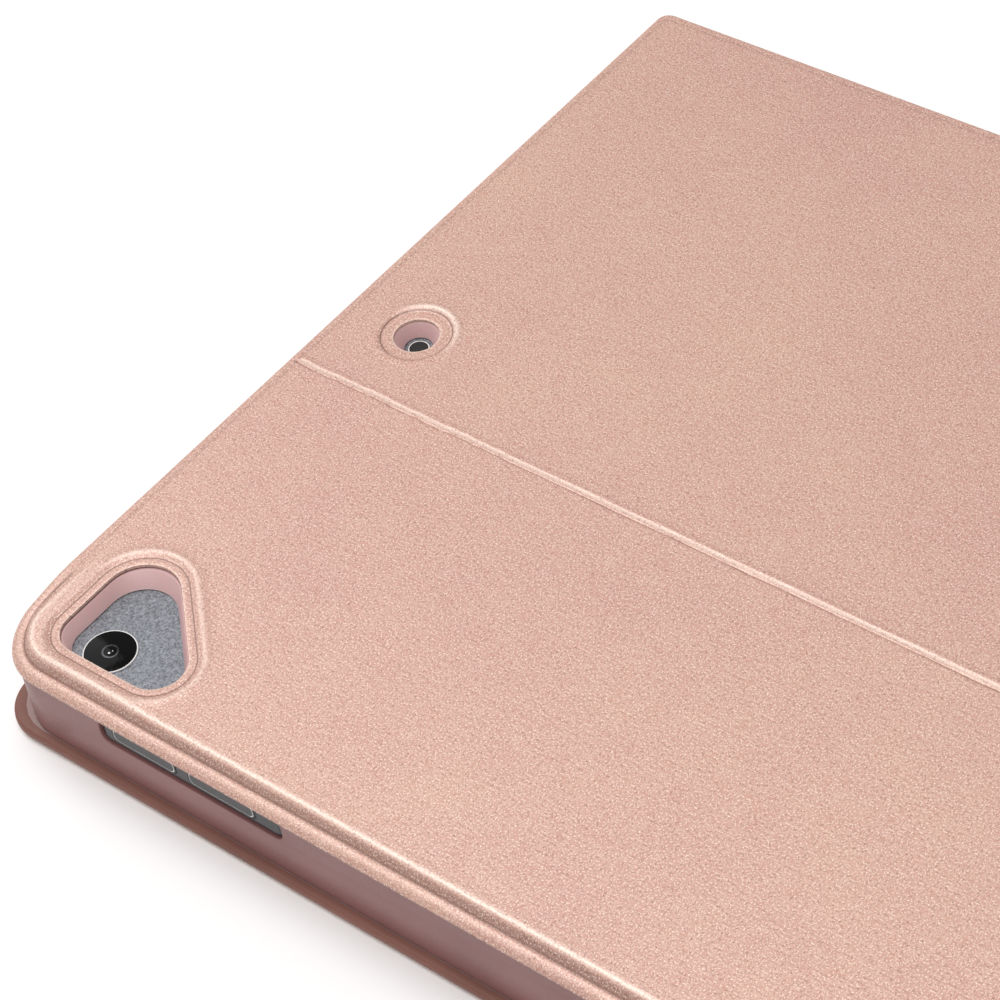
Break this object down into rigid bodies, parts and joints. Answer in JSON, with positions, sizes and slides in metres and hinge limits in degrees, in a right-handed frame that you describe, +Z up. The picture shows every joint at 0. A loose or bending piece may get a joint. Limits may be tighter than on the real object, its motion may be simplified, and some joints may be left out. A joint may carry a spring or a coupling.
{
  "type": "tablet keyboard case",
  "caption": "Folio case for a tablet, with a moulded tray in its cover and a slim keyboard in its base; the back folds at a crease to make a stand.",
  "frame": {"origin": "middle of the underside of the closed case", "axes": "+X along the long side, front (the volume button edge) is -Y, +Z up; the case lies closed on its base with its back side up"},
  "size_m": [0.251, 0.1784, 0.0187],
  "materials": {
    "rose_leather": "satin rose-gold artificial leather with a fine streaked shimmer",
    "stiffener_board": "matte fibre board",
    "microfibre_lining": "short brushed microfibre",
    "mauve_tray": "fine matt, slightly flexible moulding",
    "keyboard_deck": "satin painted",
    "white_key": "matt, soft to the touch",
    "control_plastic": "matt",
    "steel": "brushed",
    "magnet": "nickel plated",
    "circuit_board": "solder mask",
    "silicone": "matt",
    "battery_foil": "laminated foil",
    "light_window": "clear"
  },
  "bodies": {
    "base": {"base_skin": "rose_leather", "base_board": "stiffener_board", "base_lining": "microfibre_lining", "stand_magnet_left": "magnet", "stand_magnet_right": "magnet", "closure_magnet_left": "magnet", "closure_magnet_right": "magnet", "keyboard_bottom_shell": "keyboard_deck", "keyboard_top_plate": "keyboard_deck", "key_matrix_board": "circuit_board", "key_dome_sheet": "silicone", "battery": "battery_foil", "controller_board": "circuit_board", "charging_port": "steel", "status_light_window": "light_window"},
    "spine": {"spine_skin": "rose_leather", "spine_board": "stiffener_board", "spine_lining": "microfibre_lining"},
    "stand_rod": {"stand_rod": "steel"},
    "tray": {"tray_shell": "mauve_tray", "top_skin": "rose_leather", "top_board": "stiffener_board"},
    "leg": {"leg_skin": "rose_leather", "leg_board": "stiffener_board", "leg_lining": "microfibre_lining"},
    "power_switch": {"power_switch": "control_plastic"},
    "pair_button": {"pair_button": "control_plastic"},
    "key_escape": {"key_escape": "white_key"},
    "keys_function_row": {"keys_function_row": "white_key"},
    "keys_number_row": {"keys_number_row": "white_key"},
    "key_backspace": {"key_backspace": "white_key"},
    "key_tab": {"key_tab": "white_key"},
    "keys_upper_row": {"keys_upper_row": "white_key"},
    "key_caps_lock": {"key_caps_lock": "white_key"},
    "keys_home_row": {"keys_home_row": "white_key"},
    "key_enter": {"key_enter": "white_key"},
    "key_left_shift": {"key_left_shift": "white_key"},
    "keys_lower_row": {"keys_lower_row": "white_key"},
    "key_right_shift": {"key_right_shift": "white_key"},
    "keys_left_modifiers": {"keys_left_modifiers": "white_key"},
    "key_space": {"key_space": "white_key"},
    "keys_right_modifiers": {"keys_right_modifiers": "white_key"},
    "key_arrow_left": {"key_arrow_left": "white_key"},
    "key_arrow_up": {"key_arrow_up": "white_key"},
    "key_arrow_down": {"key_arrow_down": "white_key"},
    "key_arrow_right": {"key_arrow_right": "white_key"}
  },
  "joints": [
    {"name": "case_fold", "type": "hinge", "parent": "stand_rod", "child": "tray", "pos_m": [0, 0.08395, 0.0044], "axis": [-1, 0, 0], "range_deg": [0, 108]},
    {"name": "edge_travel", "type": "slide", "parent": "base", "child": "stand_rod", "axis": [0, -0.998, 0.0635], "range_m": [0, 0.05981]},
    {"name": "crease_fold", "type": "hinge", "parent": "tray", "child": "leg", "pos_m": [0, -0.01585, 0.0187], "axis": [1, 0, 0], "range_deg": [0, 38.83]},
    {"name": "spine_fold", "type": "hinge", "parent": "base", "child": "spine", "pos_m": [0, 0.08815, 0.0011], "axis": [-1, 0, 0], "range_deg": [0, 90]},
    {"name": "power_switch_slide", "type": "slide", "parent": "base", "child": "power_switch", "axis": [1, 0, 0], "range_m": [0, 0.002]},
    {"name": "pair_button_press", "type": "slide", "parent": "base", "child": "pair_button", "axis": [0, 0, -1], "range_m": [0, 0.0004], "stiffness_N_per_m": 400},
    {"name": "key_escape_press", "type": "slide", "parent": "base", "child": "key_escape", "axis": [0, 0, -1], "range_m": [0, 0.0008], "stiffness_N_per_m": 400},
    {"name": "keys_function_row_press", "type": "slide", "parent": "base", "child": "keys_function_row", "axis": [0, 0, -1], "range_m": [0, 0.0008], "stiffness_N_per_m": 1500},
    {"name": "keys_number_row_press", "type": "slide", "parent": "base", "child": "keys_number_row", "axis": [0, 0, -1], "range_m": [0, 0.0008], "stiffness_N_per_m": 1500},
    {"name": "key_backspace_press", "type": "slide", "parent": "base", "child": "key_backspace", "axis": [0, 0, -1], "range_m": [0, 0.0008], "stiffness_N_per_m": 400},
    {"name": "key_tab_press", "type": "slide", "parent": "base", "child": "key_tab", "axis": [0, 0, -1], "range_m": [0, 0.0008], "stiffness_N_per_m": 400},
    {"name": "keys_upper_row_press", "type": "slide", "parent": "base", "child": "keys_upper_row", "axis": [0, 0, -1], "range_m": [0, 0.0008], "stiffness_N_per_m": 1500},
    {"name": "key_caps_lock_press", "type": "slide", "parent": "base", "child": "key_caps_lock", "axis": [0, 0, -1], "range_m": [0, 0.0008], "stiffness_N_per_m": 400},
    {"name": "keys_home_row_press", "type": "slide", "parent": "base", "child": "keys_home_row", "axis": [0, 0, -1], "range_m": [0, 0.0008], "stiffness_N_per_m": 1500},
    {"name": "key_enter_press", "type": "slide", "parent": "base", "child": "key_enter", "axis": [0, 0, -1], "range_m": [0, 0.0008], "stiffness_N_per_m": 400},
    {"name": "key_left_shift_press", "type": "slide", "parent": "base", "child": "key_left_shift", "axis": [0, 0, -1], "range_m": [0, 0.0008], "stiffness_N_per_m": 400},
    {"name": "keys_lower_row_press", "type": "slide", "parent": "base", "child": "keys_lower_row", "axis": [0, 0, -1], "range_m": [0, 0.0008], "stiffness_N_per_m": 1500},
    {"name": "key_right_shift_press", "type": "slide", "parent": "base", "child": "key_right_shift", "axis": [0, 0, -1], "range_m": [0, 0.0008], "stiffness_N_per_m": 400},
    {"name": "keys_left_modifiers_press", "type": "slide", "parent": "base", "child": "keys_left_modifiers", "axis": [0, 0, -1], "range_m": [0, 0.0008], "stiffness_N_per_m": 1500},
    {"name": "key_space_press", "type": "slide", "parent": "base", "child": "key_space", "axis": [0, 0, -1], "range_m": [0, 0.0008], "stiffness_N_per_m": 400},
    {"name": "keys_right_modifiers_press", "type": "slide", "parent": "base", "child": "keys_right_modifiers", "axis": [0, 0, -1], "range_m": [0, 0.0008], "stiffness_N_per_m": 1500},
    {"name": "key_arrow_left_press", "type": "slide", "parent": "base", "child": "key_arrow_left", "axis": [0, 0, -1], "range_m": [0, 0.0008], "stiffness_N_per_m": 400},
    {"name": "key_arrow_up_press", "type": "slide", "parent": "base", "child": "key_arrow_up", "axis": [0, 0, -1], "range_m": [0, 0.0008], "stiffness_N_per_m": 400},
    {"name": "key_arrow_down_press", "type": "slide", "parent": "base", "child": "key_arrow_down", "axis": [0, 0, -1], "range_m": [0, 0.0008], "stiffness_N_per_m": 400},
    {"name": "key_arrow_right_press", "type": "slide", "parent": "base", "child": "key_arrow_right", "axis": [0, 0, -1], "range_m": [0, 0.0008], "stiffness_N_per_m": 400}
  ],
  "couplings": [
    {"joint": "edge_travel", "follows": "case_fold", "m_per_rad": 0.031728},
    {"joint": "crease_fold", "follows": "case_fold", "ratio": 0.35949},
    {"joint": "spine_fold", "follows": "case_fold", "ratio": 0.83332}
  ]
}
